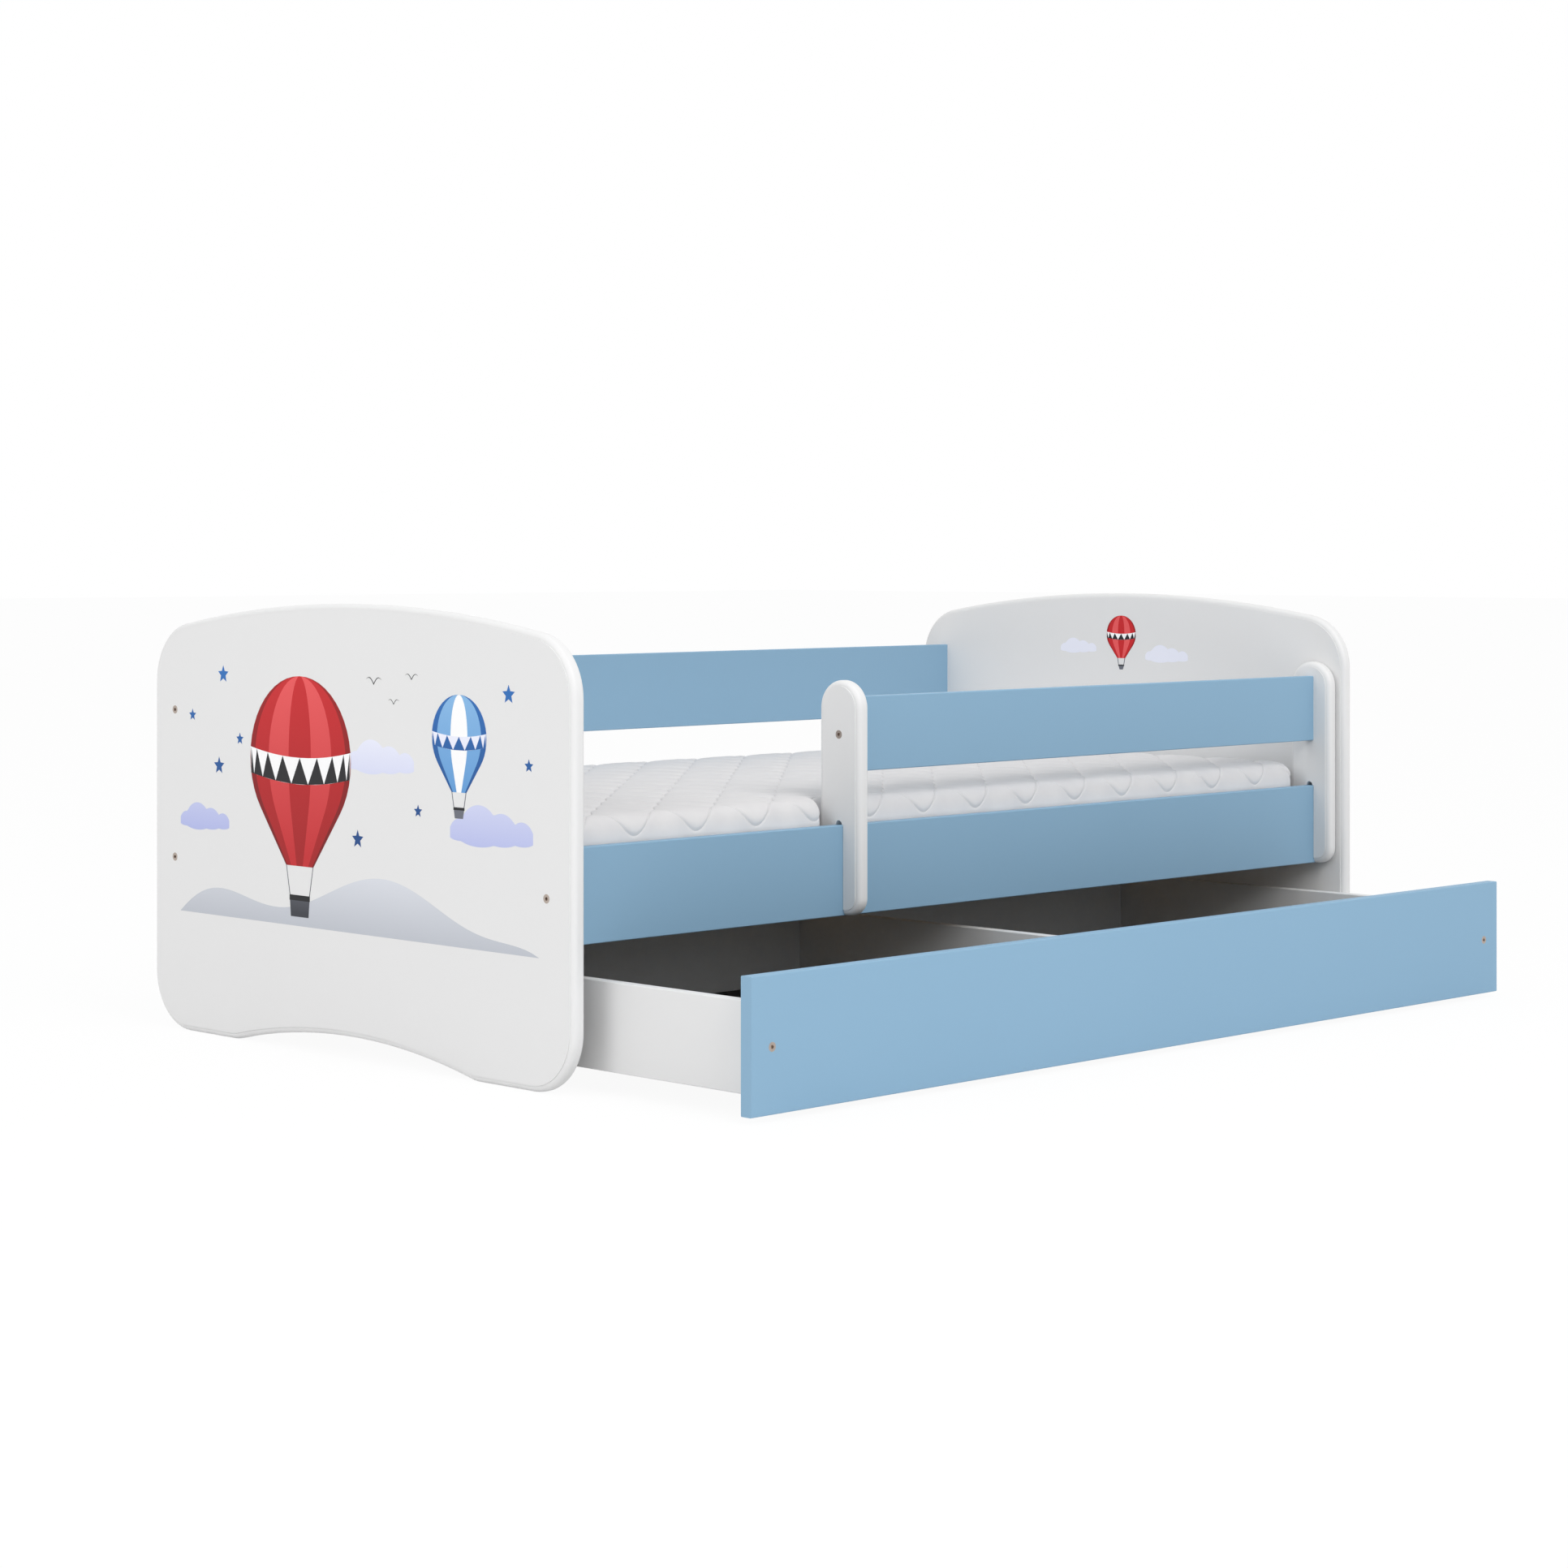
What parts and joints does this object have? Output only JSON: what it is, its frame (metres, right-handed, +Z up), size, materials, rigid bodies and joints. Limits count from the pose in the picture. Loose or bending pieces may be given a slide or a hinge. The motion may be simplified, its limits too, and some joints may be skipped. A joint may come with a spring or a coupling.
{
  "type": "kids bed",
  "caption": "Low kids bed with rounded end boards, blue side rails, a lift-off guard rail, a quilted mattress and a rolling under-bed drawer.",
  "frame": {"origin": "middle of the footprint on the floor, with the drawer drawn out as in the picture", "axes": "+X along the bed to the headboard, +Y to the back, +Z up; the drawer and the guard are on the -Y side"},
  "size_m": [1.674, 1.212, 0.618],
  "materials": {
    "white_board": "satin white foil on MDF",
    "blue_board": "matt pale blue laminate on chipboard",
    "pine": "planed pine",
    "beech": "turned beech",
    "hardboard": "dark grey lacquered hardboard",
    "webbing": "woven tape",
    "quilted_fabric": "white quilted knit",
    "foam": "open foam",
    "zinc_steel": "zinc plated",
    "caster_plastic": "black plastic",
    "wheel_plastic": "grey plastic"
  },
  "bodies": {
    "frame": {"footboard": "white_board", "headboard": "white_board", "front_rail": "blue_board", "back_rail_lower": "blue_board", "back_rail_upper": "blue_board", "front_batten": "pine", "back_batten": "pine", "slat_01": "pine", "slat_02": "pine", "slat_03": "pine", "slat_04": "pine", "slat_05": "pine", "slat_06": "pine", "slat_07": "pine", "slat_08": "pine", "slat_09": "pine", "slat_10": "pine", "slat_11": "pine", "slat_12": "pine", "slat_13": "pine", "slat_tape_front": "webbing", "slat_tape_back": "webbing", "footboard_screws": "zinc_steel", "headboard_screws": "zinc_steel", "rail_dowels": "beech", "batten_screws": "zinc_steel"},
    "guard": {"guard_post_foot": "white_board", "guard_post_head": "white_board", "guard_rail": "blue_board", "guard_screws": "zinc_steel", "guard_dowels": "beech"},
    "mattress": {"mattress_cover": "quilted_fabric", "mattress_core": "foam"},
    "drawer": {"drawer_front": "blue_board", "drawer_side_left": "white_board", "drawer_side_right": "white_board", "drawer_back": "white_board", "drawer_divider": "white_board", "drawer_bottom_left": "hardboard", "drawer_bottom_right": "hardboard", "drawer_batten_left": "pine", "drawer_batten_right": "pine", "drawer_front_screws": "zinc_steel", "drawer_box_screws": "zinc_steel", "drawer_dowels": "beech", "caster_screws": "zinc_steel", "caster_housing_front_left": "caster_plastic", "caster_housing_front_right": "caster_plastic", "caster_housing_rear_left": "caster_plastic", "caster_housing_rear_right": "caster_plastic", "caster_axle_front_left": "zinc_steel", "caster_axle_front_right": "zinc_steel", "caster_axle_rear_left": "zinc_steel", "caster_axle_rear_right": "zinc_steel"},
    "wheel_front_left": {"caster_wheel_front_left": "wheel_plastic"},
    "wheel_front_right": {"caster_wheel_front_right": "wheel_plastic"},
    "wheel_rear_left": {"caster_wheel_rear_left": "wheel_plastic"},
    "wheel_rear_right": {"caster_wheel_rear_right": "wheel_plastic"}
  },
  "joints": [
    {"name": "drawer_slide", "type": "slide", "parent": "frame", "child": "drawer", "axis": [0, -1, 0], "range_m": [-0.334, 0.36]},
    {"name": "guard_lift", "type": "slide", "parent": "frame", "child": "guard", "axis": [0, 0, 1], "range_m": [0, 0.14]},
    {"name": "mattress_lift", "type": "slide", "parent": "frame", "child": "mattress", "axis": [0, 0, 1], "range_m": [0, 0.3]},
    {"name": "wheel_front_left_roll", "type": "hinge", "parent": "drawer", "child": "wheel_front_left", "pos_m": [-0.56, -0.568, 0.012], "axis": [1, 0, 0], "continuous": true},
    {"name": "wheel_front_right_roll", "type": "hinge", "parent": "drawer", "child": "wheel_front_right", "pos_m": [0.56, -0.568, 0.012], "axis": [1, 0, 0], "continuous": true},
    {"name": "wheel_rear_left_roll", "type": "hinge", "parent": "drawer", "child": "wheel_rear_left", "pos_m": [-0.56, 0.113, 0.012], "axis": [1, 0, 0], "continuous": true},
    {"name": "wheel_rear_right_roll", "type": "hinge", "parent": "drawer", "child": "wheel_rear_right", "pos_m": [0.56, 0.113, 0.012], "axis": [1, 0, 0], "continuous": true}
  ],
  "couplings": [
    {"joint": "wheel_front_left_roll", "follows": "drawer_slide", "rad_per_m": 83.333},
    {"joint": "wheel_front_right_roll", "follows": "drawer_slide", "rad_per_m": 83.333},
    {"joint": "wheel_rear_left_roll", "follows": "drawer_slide", "rad_per_m": 83.333},
    {"joint": "wheel_rear_right_roll", "follows": "drawer_slide", "rad_per_m": 83.333}
  ]
}
